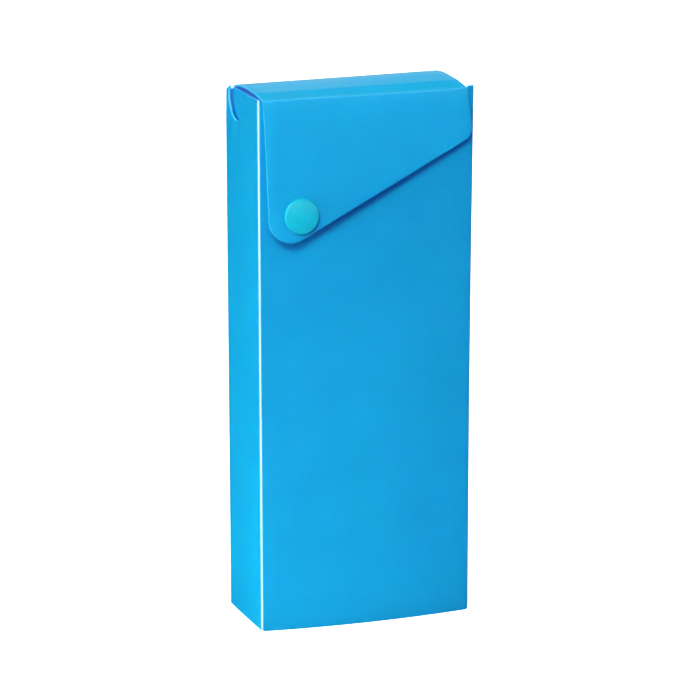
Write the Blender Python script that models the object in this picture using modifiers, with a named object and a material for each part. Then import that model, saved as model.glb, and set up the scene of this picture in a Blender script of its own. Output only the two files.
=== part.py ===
"""Sliding pencil case: a tray with a hinged lid slides up out of a sleeve, and a press stud holds its flap.

Both the sleeve and the tray are folded from sheet polypropylene. Units are metres and +Z is up. The
origin is at the middle of the base. The front, where the flap closes, faces -Y.
"""

import math

import bmesh
import bpy
from mathutils import Matrix, Vector

# The closed case.
CASE_WIDTH = 0.088
CASE_DEPTH = 0.041
SLEEVE_TOP = 0.2116
SHEET = 0.0008
FOLD_RADIUS = 0.0011
GAP = 0.0003
GLUE_GAP = 0.00015

# The sleeve's walls bow outwards towards its base.
FRONT_BOW = 0.0028
SIDE_BOW = 0.0007

# The tray inside the sleeve.
TRAY_WIDTH = 0.0848
TRAY_FRONT = -0.0182
TRAY_BACK = 0.0184
TRAY_BASE = 0.0022
TRAY_TOP = 0.2123
SCOOP_WIDTH = 0.046
SCOOP_DEPTH = 0.020

# The flaps that the two blanks are closed with.
GLUE_FLAP_WIDTH = 0.012
GLUE_FLAP_TAPER = 0.008
DUST_FLAP_REACH = 0.018
DUST_FLAP_SET_IN = 0.0015
TUCK_FLAP_HEIGHT = 0.014
TUCK_FLAP_TAPER = 0.005

# The half-round thumb notches in the sleeve's side walls, measured from the nearer upright edge.
NOTCH_RADIUS = 0.01055
NOTCH_SET_IN = 0.0039
NOTCH_DEPTH = 0.0113

# The lid, as points (y, z) on its outer face: the back crease, the upper front crease and the lower one.
BACK_CREASE = Vector((0.0183, 0.2136))
UPPER_CREASE = Vector((-0.0183, 0.2143))
LOWER_CREASE = Vector((-0.0215, 0.2126))
LID_RISE = 0.0023
UPPER_CREASE_CUT = 0.00045
LOWER_CREASE_CUT = 0.0006

# The closing flap, as (x, distance below the lower crease) of its sharp corners, with each corner's radius.
FLAP_SLOPE = 0.0844
FLAP_CORNERS = (
    ((TRAY_WIDTH / 2, LOWER_CREASE_CUT), 0.0),
    ((0.0436, 0.0177), 0.005),
    ((-0.0413, 0.0609), 0.009),
    ((-TRAY_WIDTH / 2, LOWER_CREASE_CUT), 0.0),
)

# The press stud.
SNAP_X = -0.0285
SNAP_DROP = 0.045
SNAP_CAP_RADIUS = 0.007
SNAP_BODY_RADIUS = 0.0053
SNAP_FLANGE_RADIUS = 0.005
BACK_CAP_RADIUS = 0.0055
POST_RADIUS = 0.00115
POST_HEAD_RADIUS = 0.0017
POST_HOLE_RADIUS = 0.0015
SOCKET_BORE_RADIUS = 0.003
STUD_BULGE_RADIUS = 0.0026
TURN_STEPS = 36

# How finely the curved sheets are divided.
FOLD_STEPS = 4
FRONT_STEPS = 14
SIDE_STEPS = 6
HEIGHT_STEPS = 8
LID_STEPS = 14
CORNER_STEPS = 8

SLEEVE_BLUE = (0.010, 0.345, 0.725)
TRAY_BLUE = (0.009, 0.300, 0.680)
LID_BLUE = (0.016, 0.375, 0.750)
SNAP_TEAL = (0.006, 0.480, 0.640)


def clear_scene():
    for old in list(bpy.data.objects):
        bpy.data.objects.remove(old)
    for old in list(bpy.data.collections):
        bpy.data.collections.remove(old)


def new_collection(name):
    collection = bpy.data.collections.new(name)
    bpy.context.scene.collection.children.link(collection)
    return collection


def plastic(name, colour, roughness):
    material = bpy.data.materials.new(name)
    material.use_nodes = True
    shader = material.node_tree.nodes["Principled BSDF"]
    shader.inputs["Base Color"].default_value = (*colour, 1.0)
    shader.inputs["Roughness"].default_value = roughness
    shader.inputs["Metallic"].default_value = 0.0
    return material


def new_object(name, data, material, pivot):
    """Links an object to the case's collection and hangs it on the empty that it moves with."""
    made = bpy.data.objects.new(name, data)
    data.materials.append(material)
    PARTS.objects.link(made)
    made.parent = pivot
    made.matrix_parent_inverse = pivot.matrix_world.inverted()
    return made


def new_pivot(name, location, parent=None):
    """An empty on a joint's axis."""
    pivot = bpy.data.objects.new(name, None)
    pivot.empty_display_size = 0.01
    PARTS.objects.link(pivot)
    if parent:
        pivot.parent = parent
        pivot.matrix_parent_inverse = parent.matrix_world.inverted()
    pivot.location = location
    bpy.context.view_layer.update()
    return pivot


def grid_mesh(name, lines):
    """A surface through lines of points, which all hold the same number of points."""
    mesh = bpy.data.meshes.new(name)
    bm = bmesh.new()
    rows = [[bm.verts.new(point) for point in line] for line in lines]
    for line, following in zip(rows, rows[1:]):
        for a, b, c, d in zip(line, line[1:], following[1:], following):
            bm.faces.new((a, b, c, d))
    bm.to_mesh(mesh)
    bm.free()
    mesh.shade_smooth()
    mesh.set_sharp_from_angle(angle=math.radians(40))
    return mesh


def sheet_from_grid(name, lines, material, pivot):
    """A sheet whose outer face runs through the lines of points, thickened inwards."""
    sheet = new_object(name, grid_mesh(name, lines), material, pivot)
    solidify = sheet.modifiers.new("thickness", "SOLIDIFY")
    solidify.thickness = SHEET
    solidify.offset = -1
    solidify.use_even_offset = True
    return sheet


def fold_points(corner, heading, turned):
    """The outer face of one right-angled fold, from heading to turned."""
    centre = corner + (turned - heading) * FOLD_RADIUS
    points = []
    for step in range(FOLD_STEPS + 1):
        angle = math.radians(90) * step / FOLD_STEPS
        points.append(centre + FOLD_RADIUS * (heading * math.sin(angle) - turned * math.cos(angle)))
    return points


def bowed_points(start, end, outward, bow, steps):
    """Points between start and end on a wall that bows outward by bow at its middle."""
    points = []
    for step in range(1, steps):
        share = step / steps
        points.append(start.lerp(end, share) + outward * bow * 4 * share * (1 - share))
    return points


def wall_outline(half_width, front, back, front_bow, side_bow):
    """A blank's outer face from above: glue flap, right wall, front wall, left wall and back wall."""
    right, left = Vector((1, 0)), Vector((-1, 0))
    forward, backward = Vector((0, -1)), Vector((0, 1))
    lap = back - SHEET - GLUE_GAP
    flap_fold = fold_points(Vector((half_width, lap)), right, forward)
    right_fold = fold_points(Vector((half_width, front)), forward, left)
    left_fold = fold_points(Vector((-half_width, front)), left, backward)
    back_fold = fold_points(Vector((-half_width, back)), backward, right)
    outline = [Vector((half_width - GLUE_FLAP_WIDTH, lap)), *flap_fold]
    outline += bowed_points(flap_fold[-1], right_fold[0], right, side_bow, SIDE_STEPS)
    outline += right_fold
    outline += bowed_points(right_fold[-1], left_fold[0], forward, front_bow, FRONT_STEPS)
    outline += left_fold
    outline += bowed_points(left_fold[-1], back_fold[0], left, side_bow, SIDE_STEPS)
    outline += [*back_fold, Vector((half_width - GAP, back))]
    return outline


def wall_heights(outline, front, base, top):
    """The lower and upper edge of a blank's walls at each point of its outline.

    The front wall reaches down to the base, and the others stop above the bottom panel, which folds under
    them. The glue flap, whose free edge is the first point, tapers.
    """
    heights = []
    for index, (_, y) in enumerate(outline):
        from_front = max(0.0, min((y - front) / FOLD_RADIUS, 1.0))
        taper = GLUE_FLAP_TAPER if index == 0 else 0.0
        heights.append((base + (SHEET + GAP) * from_front + taper, top - taper))
    return heights


def folded_walls(name, half_width, front, back, base, top, front_bow, side_bow, material, pivot):
    """The four walls of a blank and the glue flap that closes them, as one folded sheet."""
    lines = []
    for step in range(HEIGHT_STEPS + 1):
        share = step / HEIGHT_STEPS
        outline = wall_outline(half_width, front, back, front_bow * (1 - share), side_bow * (1 - share))
        heights = wall_heights(outline, front, base, top)
        lines.append(
            [(x, y, low + (high - low) * share) for (x, y), (low, high) in zip(outline, heights)]
        )
    columns = list(zip(*lines))
    return sheet_from_grid(name, columns, material, pivot)


def bottom_panel(name, half_width, front, back, base, material, pivot):
    """The panel that closes a blank's base, with the tuck flap folded up behind the front wall."""
    forward, up = Vector((-1, 0)), Vector((0, 1))
    tuck_face = front + SHEET + GAP
    profile = [(Vector((back - GAP / 2, base)), half_width - GAP / 2)]
    fold = fold_points(Vector((tuck_face, base)), forward, up)
    profile.append((fold[0], half_width - GAP / 2))
    tuck_width = half_width - SHEET - 2 * GAP
    profile += [(point, tuck_width) for point in fold[1:]]
    rise = TUCK_FLAP_HEIGHT - TUCK_FLAP_TAPER
    profile.append((Vector((tuck_face, base + rise)), tuck_width))
    for step in range(1, CORNER_STEPS + 1):
        angle = math.radians(90) * step / CORNER_STEPS
        height = base + rise + TUCK_FLAP_TAPER * math.sin(angle)
        profile.append(
            (Vector((tuck_face, height)), tuck_width - TUCK_FLAP_TAPER * (1 - math.cos(angle)))
        )
    lines = [[(-width, y, z), (width, y, z)] for (y, z), width in profile]
    return sheet_from_grid(name, lines, material, pivot)


def rounded_corners(corners):
    """An outline's points, from its sharp corners in order round it and the radius of each."""
    points = []
    for index, (corner, radius) in enumerate(corners):
        corner = Vector(corner)
        if not radius:
            points.append(corner)
            continue
        before = (Vector(corners[index - 1][0]) - corner).normalized()
        after = (Vector(corners[(index + 1) % len(corners)][0]) - corner).normalized()
        half_angle = before.angle(after) / 2
        centre = corner + (before + after).normalized() * radius / math.sin(half_angle)
        start = corner + before * radius / math.tan(half_angle) - centre
        end = corner + after * radius / math.tan(half_angle) - centre
        turn = start.angle(end)
        for step in range(CORNER_STEPS + 1):
            share = step / CORNER_STEPS
            point = start * math.sin((1 - share) * turn) + end * math.sin(share * turn)
            points.append(centre + point / math.sin(turn))
    return points


def circle_points(centre, radius, steps):
    turn = 2 * math.pi / steps
    return [
        centre + radius * Vector((math.cos(step * turn), math.sin(step * turn))) for step in range(steps)
    ]


def flat_sheet(name, outlines, placing, material, pivot):
    """A flat sheet with the first outline's shape and the others as holes. Its top is placing's XY plane."""
    curve = bpy.data.curves.new(name, "CURVE")
    curve.dimensions = "2D"
    curve.fill_mode = "BOTH"
    curve.extrude = SHEET / 2
    for outline in outlines:
        spline = curve.splines.new("POLY")
        spline.points.add(len(outline) - 1)
        for point, (x, y) in zip(spline.points, outline):
            point.co = (x, y, 0, 1)
        spline.use_cyclic_u = True
    sheet = new_object(name, curve, material, pivot)
    sheet.matrix_world = placing @ Matrix.Translation((0, 0, -SHEET / 2))
    return sheet


def dust_flap(name, side, half_width, front, back, base, material, pivot):
    """One of the two small flaps folded in above a bottom panel. Side is -1 on the left, 1 on the right."""
    root = side * (half_width - SHEET - GAP)
    tip = root - side * DUST_FLAP_REACH
    low = front + SHEET + 2 * GAP + SHEET + DUST_FLAP_SET_IN
    high = back - 2 * SHEET - 2 * GAP - DUST_FLAP_SET_IN
    corners = (((root, low), 0.0), ((tip, low), 0.004), ((tip, high), 0.004), ((root, high), 0.0))
    placing = Matrix.Translation((0, 0, base + 2 * SHEET + GAP))
    return flat_sheet(name, [rounded_corners(corners)], placing, material, pivot)


def turned(name, profile, placing, material, pivot, closed=False):
    """A round piece turned about placing's Z axis. Its profile (radius, height) runs down the outer side."""
    mesh = bpy.data.meshes.new(name)
    edges = [(index, index + 1) for index in range(len(profile) - 1)]
    if closed:
        edges.append((len(profile) - 1, 0))
    mesh.from_pydata([(radius, 0, height) for radius, height in profile], edges, [])
    piece = new_object(name, mesh, material, pivot)
    piece.matrix_world = placing
    screw = piece.modifiers.new("turning", "SCREW")
    screw.axis = "Z"
    screw.steps = TURN_STEPS
    screw.render_steps = TURN_STEPS
    screw.use_merge_vertices = True
    screw.merge_threshold = 0.00001
    screw.use_smooth_shade = True
    return piece


def cutter(name, radius, depth, centre, axis, stretch=0.0):
    """A round bar that cuts its neighbours, stretched upwards where it cuts a slot open at the top."""
    bm = bmesh.new()
    bmesh.ops.create_cone(
        bm, cap_ends=True, segments=48, radius1=radius, radius2=radius, depth=depth
    )
    mesh = bpy.data.meshes.new(name)
    bm.to_mesh(mesh)
    bm.free()
    made = bpy.data.objects.new(name, mesh)
    mesh.transform(Vector((0, 0, 1)).rotation_difference(Vector(axis)).to_matrix().to_4x4())
    for vertex in mesh.vertices:
        if vertex.co.z > 0:
            vertex.co.z += stretch
    made.location = centre
    made.hide_render = True
    made.display_type = "WIRE"
    CUTTERS.objects.link(made)
    return made


def cut(target, tool):
    boolean = target.modifiers.new(tool.name, "BOOLEAN")
    boolean.operation = "DIFFERENCE"
    boolean.solver = "EXACT"
    boolean.object = tool


def build_sleeve(sleeve):
    blue = plastic("sleeve_sheet", SLEEVE_BLUE, 0.42)
    half_width, half_depth = CASE_WIDTH / 2, CASE_DEPTH / 2
    extent = (half_width, -half_depth, half_depth, 0.0, SLEEVE_TOP)
    walls = folded_walls("sleeve_walls", *extent, FRONT_BOW, SIDE_BOW, blue, sleeve)
    bottom_panel("sleeve_bottom_panel", half_width, -half_depth, half_depth, 0.0, blue, sleeve)
    dust_flap("sleeve_dust_flap_left", -1, half_width, -half_depth, half_depth, 0.0, blue, sleeve)
    dust_flap("sleeve_dust_flap_right", 1, half_width, -half_depth, half_depth, 0.0, blue, sleeve)

    # The left notch is near the back and the right one is near the front.
    from_middle = half_depth - NOTCH_SET_IN - NOTCH_RADIUS
    height = SLEEVE_TOP - NOTCH_DEPTH + NOTCH_RADIUS
    for side, label in ((-1, "left"), (1, "right")):
        centre = (side * half_width, -side * from_middle, height)
        cut(walls, cutter(f"thumb_notch_{label}", NOTCH_RADIUS, 8 * SHEET, centre, (1, 0, 0), NOTCH_RADIUS))
    return walls


def build_tray(tray):
    blue = plastic("tray_sheet", TRAY_BLUE, 0.45)
    half_width = TRAY_WIDTH / 2
    extent = (half_width, TRAY_FRONT, TRAY_BACK, TRAY_BASE, TRAY_TOP)
    walls = folded_walls("tray_walls", *extent, 0.0, 0.0, blue, tray)
    bottom_panel("tray_bottom_panel", half_width, TRAY_FRONT, TRAY_BACK, TRAY_BASE, blue, tray)
    dust_flap("tray_dust_flap_left", -1, half_width, TRAY_FRONT, TRAY_BACK, TRAY_BASE, blue, tray)
    dust_flap("tray_dust_flap_right", 1, half_width, TRAY_FRONT, TRAY_BACK, TRAY_BASE, blue, tray)

    # The finger scoop is the arc of a circle that passes through both its ends and its lowest point.
    radius = ((SCOOP_WIDTH / 2) ** 2 + SCOOP_DEPTH**2) / (2 * SCOOP_DEPTH)
    centre = (0, TRAY_FRONT, TRAY_TOP - SCOOP_DEPTH + radius)
    cut(walls, cutter("finger_scoop", radius, 8 * SHEET, centre, (0, 1, 0)))


def build_lid(blue, lid):
    """The top panel, arched between the back crease and the upper front crease."""
    chord = UPPER_CREASE - BACK_CREASE
    upward = Vector((chord.y, -chord.x)).normalized()
    last_share = 1 - UPPER_CREASE_CUT / chord.length
    lines = []
    for step in range(LID_STEPS + 1):
        share = last_share * step / LID_STEPS
        y, z = BACK_CREASE + chord * share + upward * LID_RISE * 4 * share * (1 - share)
        lines.append([(TRAY_WIDTH / 2, y, z), (-TRAY_WIDTH / 2, y, z)])
    sheet_from_grid("lid_top_panel", lines, blue, lid)


def build_strip(blue, strip):
    """The narrow strip between the two front creases."""
    along = (LOWER_CREASE - UPPER_CREASE).normalized()
    upper = UPPER_CREASE + along * UPPER_CREASE_CUT
    lower = LOWER_CREASE - along * LOWER_CREASE_CUT
    lines = [[(TRAY_WIDTH / 2, y, z), (-TRAY_WIDTH / 2, y, z)] for y, z in (upper, lower)]
    sheet_from_grid("lid_front_strip", lines, blue, strip)


def at_flap(x=0.0, drop=0.0):
    """A point on the flap's outer face, with X along the crease, Y up the flap and Z straight out of it."""
    up = Vector((0, FLAP_SLOPE, 1)).normalized()
    out = Vector((1, 0, 0)).cross(up)
    turning = Matrix(((1, 0, 0), up, out)).transposed().to_4x4()
    return Matrix.Translation(Vector((x, *LOWER_CREASE)) - up * drop) @ turning


def build_flap(blue, flap):
    corners = [((x, -drop), radius) for (x, drop), radius in FLAP_CORNERS]
    hole = circle_points(Vector((SNAP_X, -SNAP_DROP)), POST_HOLE_RADIUS, 24)
    flat_sheet("closure_flap", [rounded_corners(corners), hole], at_flap(), blue, flap)


def build_snap(walls, sleeve, flap):
    """The press stud: cap and socket riveted through the flap, stud and back cap through the front wall."""
    teal = plastic("snap_plastic", SNAP_TEAL, 0.35)
    rivet_seat = 0.0002
    cap_profile = [
        (0.0, 0.0019),
        (0.0030, 0.0018),
        (0.0055, 0.0015),
        (0.0064, 0.0012),
        (SNAP_CAP_RADIUS, 0.0007),
        (0.0068, rivet_seat),
        (POST_RADIUS, rivet_seat),
        (POST_RADIUS, -0.0015),
        (POST_HEAD_RADIUS, -0.0015),
        (POST_HEAD_RADIUS, -0.00175),
        (0.0, -0.00175),
    ]
    socket_profile = [
        (POST_HOLE_RADIUS, -SHEET - rivet_seat),
        (SNAP_BODY_RADIUS - 0.0003, -SHEET - rivet_seat),
        (SNAP_BODY_RADIUS, -0.0013),
        (SNAP_BODY_RADIUS, -0.0026),
        (SNAP_BODY_RADIUS - 0.0002, -0.0028),
        (SOCKET_BORE_RADIUS, -0.0028),
        (SOCKET_BORE_RADIUS - 0.0002, -0.0025),
        (SOCKET_BORE_RADIUS, -0.0020),
        (SOCKET_BORE_RADIUS, -0.0014),
        (POST_HOLE_RADIUS, -0.0014),
    ]
    at_cap = at_flap(SNAP_X, SNAP_DROP)
    turned("snap_cap", cap_profile, at_cap, teal, flap)
    turned("snap_socket", socket_profile, at_cap, teal, flap, closed=True)

    # The stud stands on the front wall, which bows a little here, straight behind the socket.
    height = at_cap.translation.z
    share = (SNAP_X / (CASE_WIDTH / 2 - FOLD_RADIUS) + 1) / 2
    bow = FRONT_BOW * (1 - height / SLEEVE_TOP) * 4 * share * (1 - share)
    wall_face = -CASE_DEPTH / 2 - bow
    at_stud = Matrix.Translation((SNAP_X, wall_face, height)) @ Matrix.Rotation(math.radians(90), 4, "X")
    recess = 0.0019
    stud_profile = [
        (recess, 0.0024),
        (0.0024, 0.0024),
        (STUD_BULGE_RADIUS, 0.0021),
        (STUD_BULGE_RADIUS - 0.0001, 0.0017),
        (0.0023, 0.0011),
        (SNAP_FLANGE_RADIUS - 0.0002, 0.0010),
        (SNAP_FLANGE_RADIUS, 0.0008),
        (SNAP_FLANGE_RADIUS, GAP),
        (POST_HOLE_RADIUS, GAP),
        (POST_HOLE_RADIUS, 0.0015),
        (recess, 0.0015),
    ]
    back_cap_profile = [
        (0.0, 0.0019),
        (POST_HEAD_RADIUS, 0.0019),
        (POST_HEAD_RADIUS, 0.0016),
        (POST_RADIUS, 0.0016),
        (POST_RADIUS, -SHEET - GAP),
        (BACK_CAP_RADIUS - 0.0002, -SHEET - GAP),
        (BACK_CAP_RADIUS, -SHEET - GAP - 0.0003),
        (BACK_CAP_RADIUS - 0.0007, -SHEET - GAP - 0.0007),
        (0.0, -SHEET - GAP - 0.0009),
    ]
    turned("snap_stud", stud_profile, at_stud, teal, sleeve, closed=True)
    turned("snap_back_cap", back_cap_profile, at_stud, teal, sleeve)
    centre = (SNAP_X, wall_face, height)
    cut(walls, cutter("stud_hole", POST_HOLE_RADIUS, 6 * SHEET, centre, (0, 1, 0)))


def crease_axis(before, crease, after):
    """Where the middle of the sheet's thickness turns, at a crease between two flat panels."""
    first, second = (crease - before).normalized(), (after - crease).normalized()
    outward = Vector((first.y, -first.x)) + Vector((second.y, -second.x))
    half_turn = first.angle(second) / 2
    middle = crease - outward.normalized() * SHEET / 2 / math.cos(half_turn)
    return (0, *middle)


def main():
    sleeve = new_pivot("sleeve", (0, 0, 0))
    tray = new_pivot("tray_slide", (0, 0, TRAY_BASE), sleeve)
    hinge_height = (TRAY_TOP + BACK_CREASE.y - SHEET) / 2
    lid = new_pivot("lid_hinge", (0, TRAY_BACK, hinge_height), tray)
    flap_end = LOWER_CREASE - Vector((FLAP_SLOPE, 1))
    strip = new_pivot("strip_hinge", crease_axis(BACK_CREASE, UPPER_CREASE, LOWER_CREASE), lid)
    flap = new_pivot("flap_hinge", crease_axis(UPPER_CREASE, LOWER_CREASE, flap_end), strip)

    walls = build_sleeve(sleeve)
    build_tray(tray)
    lid_blue = plastic("lid_sheet", LID_BLUE, 0.40)
    build_lid(lid_blue, lid)
    build_strip(lid_blue, strip)
    build_flap(lid_blue, flap)
    build_snap(walls, sleeve, flap)


clear_scene()
PARTS = new_collection("pencil_case")
CUTTERS = new_collection("cutters")
main()
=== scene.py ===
import math

import bmesh
import bpy
import numpy as np
from mathutils import Matrix, Vector


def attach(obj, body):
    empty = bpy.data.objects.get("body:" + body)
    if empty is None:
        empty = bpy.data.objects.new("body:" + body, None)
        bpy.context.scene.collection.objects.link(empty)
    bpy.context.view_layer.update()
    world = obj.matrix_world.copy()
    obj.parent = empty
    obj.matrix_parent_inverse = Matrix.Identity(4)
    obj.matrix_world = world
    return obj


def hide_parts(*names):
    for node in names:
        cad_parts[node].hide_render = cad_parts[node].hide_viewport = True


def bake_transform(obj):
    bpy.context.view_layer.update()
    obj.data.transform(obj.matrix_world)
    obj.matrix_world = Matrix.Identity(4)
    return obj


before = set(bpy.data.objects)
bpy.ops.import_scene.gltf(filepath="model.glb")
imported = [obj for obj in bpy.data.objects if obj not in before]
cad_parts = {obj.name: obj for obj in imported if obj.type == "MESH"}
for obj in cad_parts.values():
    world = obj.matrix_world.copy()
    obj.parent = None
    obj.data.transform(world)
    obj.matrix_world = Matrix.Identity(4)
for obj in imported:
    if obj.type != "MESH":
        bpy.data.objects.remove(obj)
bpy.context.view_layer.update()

for cad_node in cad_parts.values():
    cad_node.data.materials.clear()

# The case's sizes, in metres, as the CAD has them.
SHEET = 0.0008
GAP = 0.0003
GLUE_GAP = 0.00015
FOLD_RADIUS = 0.0011
CASE_WIDTH = 0.088
CASE_DEPTH = 0.041
SLEEVE_TOP = 0.2116
FRONT_BOW = 0.0028
SIDE_BOW = 0.0007
TRAY_WIDTH = 0.0848
TRAY_FRONT = -0.0182
TRAY_BACK = 0.0184
TRAY_BASE = 0.0022
SCOOP_WIDTH = 0.046
SCOOP_DEPTH = 0.020
GLUE_FLAP_WIDTH = 0.012
GLUE_FLAP_TAPER = 0.008
TUCK_FLAP_HEIGHT = 0.014
NOTCH_RADIUS = 0.01055
NOTCH_SET_IN = 0.0039
NOTCH_DEPTH = 0.0113
FLAP_SLOPE = 0.0844
SNAP_X = -0.0285

# The rest is shaped more finely than in the CAD.
ARRIS = 0.00027
SMOOTH_ANGLE = math.radians(28)
TRAY_FOLD_RADIUS = 0.0019
TUCK_FLAP_CORNER = 0.005
TUCK_FLAP_SHOULDER = 0.0004
PANEL_CORNER_CUT = 0.0001

# Into how many steps the walls, the lid and the round stretches are divided.
WALL_ROWS = 20
FRONT_STEPS = 30
SIDE_STEPS = 14
BACK_STEPS = 18
LID_COLUMNS = 16
ARCH_STEPS = 24
STRIP_STEPS = 6
FLAP_ROWS = 16
FOLD_STEPS = 8
LIP_STEPS = 6
SCOOP_STEPS = 30
CORNER_STEPS = 12
PANEL_COLUMNS = 12
PANEL_ROWS = 8
TUCK_ROWS = 3

# Points closer than this are taken to be one place.
SAME_PLACE = 1e-6

# How pale a fold is along its middle, and how far the paleness reaches. Every fold has some
# stress whitening; the front-left fold's far greater paleness is a painted highlight.
FRONT_LEFT_PAINTED_HIGHLIGHT = 0.95
WALL_PALENESS = 0.12
WALL_CREASE_REACH = 0.0004
LID_PALENESS = 0.08
LID_CREASE_REACH = 0.0006

# The tray's top edge is lower at its front, and the back wall ends at the seam with the lid.
TRAY_SIDE_TOP = 0.2118
TRAY_FRONT_TOP = 0.2107
LID_SEAM = 0.2112
LID_SEAM_STEP = 0.0004
SCOOP_LIPS = (0.0025, 0.0025)

# The lid's creases and the ridge where it turns down to the front, each as (y, z). Each is rounded
# over CREASE_REACH to both sides, and the lid is arched between the two shares in ARCH_ENDS.
BACK_CREASE = Vector((0.0183, 0.2131))
RIDGE = Vector((-0.0115, 0.21385))
LOWER_CREASE = Vector((-0.0215, 0.2120))
CREASE_REACH = 0.0008
ARCH_ENDS = (0.03, 0.97)

# The shares of the way from the ridge to the front crease where the strip starts and ends its bend.
STRIP_FROM = 0.58
STRIP_BENT_BY = 0.74

# The lid's sides, and the flap's lower corners as (x, distance below the front crease).
LID_LEFT = -0.0424
LID_RIGHT = 0.0413
LID_BACK_LEFT = -0.0414
FLAP_RIGHT = (0.0429, 0.0181)
FLAP_RIGHT_RADIUS = 0.005
FLAP_LEFT = (-0.0413, 0.0613)
FLAP_LEFT_RADIUS = 0.009
FLAP_LENGTH = 0.062
FLAP_BULGE = 0.0005
SNAP_DROP = 0.0455

# The lid rises higher on the right, because the press stud pulls its left end down.
LID_RISE = 0.00127
LID_RISE_TILT = 0.00027
LID_ARCH_SKEW = 0.45
BACK_TILT = 0.0007
RIDGE_TILT = 0.00075
CREASE_TILT = 0.0004
CURL = 0.0007
CURL_POWER = 8
TILT_FADE = 0.020
TILT_FADE_FROM = 0.0004
BACK_BEND = 0.0012

# The sleeve's right wall spreads a little at its top, and an ear stands up beside each notch.
FLARE = 0.0008
FLARE_LIFT = 0.0009
FLARE_FROM = 0.060
LEFT_FLARE = 0.0003
RIGHT_EAR = 0.0009
LEFT_EAR = 0.0016
EAR_LEAN = 0.0008
EAR_LEAN_POWER = 3
EAR_FROM = 0.2085
NOTCH_LIPS = (0.0007, 0.0028)

# Its top edge dips behind the flap and slants down along the back, and its back left corner sags.
FRONT_EAR = 0.0010
FRONT_EAR_AT = 0.0012
FRONT_DROP = 0.0010
FRONT_DROP_FROM = 0.0030
FRONT_DROP_TO = (0.0010, 0.0004)
BACK_DROPS = (0.0005, 0.0019)
BACK_DROP_FROM = (0.0008, 0.0014)
BACK_SAG = 0.0007
BACK_SAG_POWER = 14

# Painted light: the flap's colour is lighter just below the front crease, for light that comes through
# the lid.
PAINTED_GLOW = 0.38
PAINTED_GLOW_FADE = 0.009


def linked(name, mesh):
    made = bpy.data.objects.new(name, mesh)
    bpy.context.scene.collection.objects.link(made)
    return made


def steps_between(start, end, steps):
    """The points after start on the way to end, which is the last of them."""
    return [start + (end - start) * step / steps for step in range(1, steps + 1)]


def lengths_along(points):
    """How far along a line of points each of them lies."""
    reach = [0.0]
    for before, after in zip(points, points[1:]):
        reach.append(reach[-1] + (after - before).length)
    return np.array(reach)


def clamped(value):
    return min(max(value, 0.0), 1.0)


# ---------------------------------------------------------------- materials

SLEEVE_COLOUR = (0.004, 0.345, 0.710)
# The lid and the tray are one sheet, yet the lid is coloured lighter and the tray, with every inner
# face, darker: painted light on the lid and painted shade on the tray and inner faces.
SHADED_TRAY_COLOUR = (0.004, 0.315, 0.690)
LIT_LID_COLOUR = (0.006, 0.380, 0.765)
# The cut edge's paler colour is a painted glow, for light piped out through the sheet's edge.
EDGE_PAINTED_GLOW_COLOUR = (0.045, 0.52, 0.84)
SNAP_COLOUR = (0.004, 0.490, 0.710)
# Paler crease colour: stress whitening, and on the front-left fold a painted highlight.
CREASE_WHITENING_AND_HIGHLIGHT = (0.62, 0.84, 1.0)
SCUFF_COLOUR = (0.15, 0.70, 0.85)
BRIGHTENED = 1.35
SATIN = (0.35, 0.43)
LID_SATIN = (0.31, 0.37)

# Painted glow: emission from the sheet's inner faces and cut edges, for the light that the translucent
# sheet lets out of them.
SHEET_LIGHT = (0.22, 0.37, 1.0, 1.0)
EDGE_LIGHT = (0.02, 0.55, 1.0, 1.0)
INSIDE_LIGHT_STRENGTH = 0.18
EDGE_LIGHT_STRENGTH = 0.10


def add(tree, kind, **settings):
    node = tree.nodes.new("ShaderNode" + kind)
    for key, value in settings.items():
        setattr(node, key, value)
    return node


def new_material(name, roughness, specular):
    material = bpy.data.materials.new(name)
    material.use_nodes = True
    shader = material.node_tree.nodes["Principled BSDF"]
    shader.inputs["Roughness"].default_value = roughness
    shader.inputs["Specular IOR Level"].default_value = specular
    return material, material.node_tree, shader


def place_on(tree, on_blank):
    """Texture coordinates in metres: on the flat blank of a folded sheet, or else in the object."""
    if on_blank:
        return add(tree, "Attribute", attribute_name="flat").outputs["Vector"]
    return add(tree, "TexCoord").outputs["Object"]


def noise(tree, place, scale, detail=2.0, stretch=(1, 1, 1)):
    mapping = add(tree, "Mapping")
    mapping.inputs["Scale"].default_value = [scale * share for share in stretch]
    tree.links.new(place, mapping.inputs["Vector"])
    texture = add(tree, "TexNoise")
    texture.inputs["Scale"].default_value = 1.0
    texture.inputs["Detail"].default_value = detail
    tree.links.new(mapping.outputs["Vector"], texture.inputs["Vector"])
    return texture.outputs["Fac"]


def remap(tree, value, low, high, start=0.3, end=0.7):
    node = add(tree, "MapRange")
    for key, number in zip(("From Min", "From Max", "To Min", "To Max"), (start, end, low, high)):
        node.inputs[key].default_value = number
    tree.links.new(value, node.inputs["Value"])
    return node.outputs["Result"]


def mix(tree, share, first, second):
    node = add(tree, "MixRGB")
    for key, value in (("Fac", share), ("Color1", first), ("Color2", second)):
        if isinstance(value, (tuple, float)):
            node.inputs[key].default_value = (*value, 1.0) if isinstance(value, tuple) else value
        else:
            tree.links.new(value, node.inputs[key])
    return node.outputs["Color"]


def bump(tree, height, distance, strength, before=None):
    node = add(tree, "Bump")
    node.inputs["Distance"].default_value = distance
    node.inputs["Strength"].default_value = strength
    tree.links.new(height, node.inputs["Height"])
    if before is not None:
        tree.links.new(before, node.inputs["Normal"])
    return node.outputs["Normal"]


def scaled(colour, share):
    return tuple(min(1.0, channel * share) for channel in colour)


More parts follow.
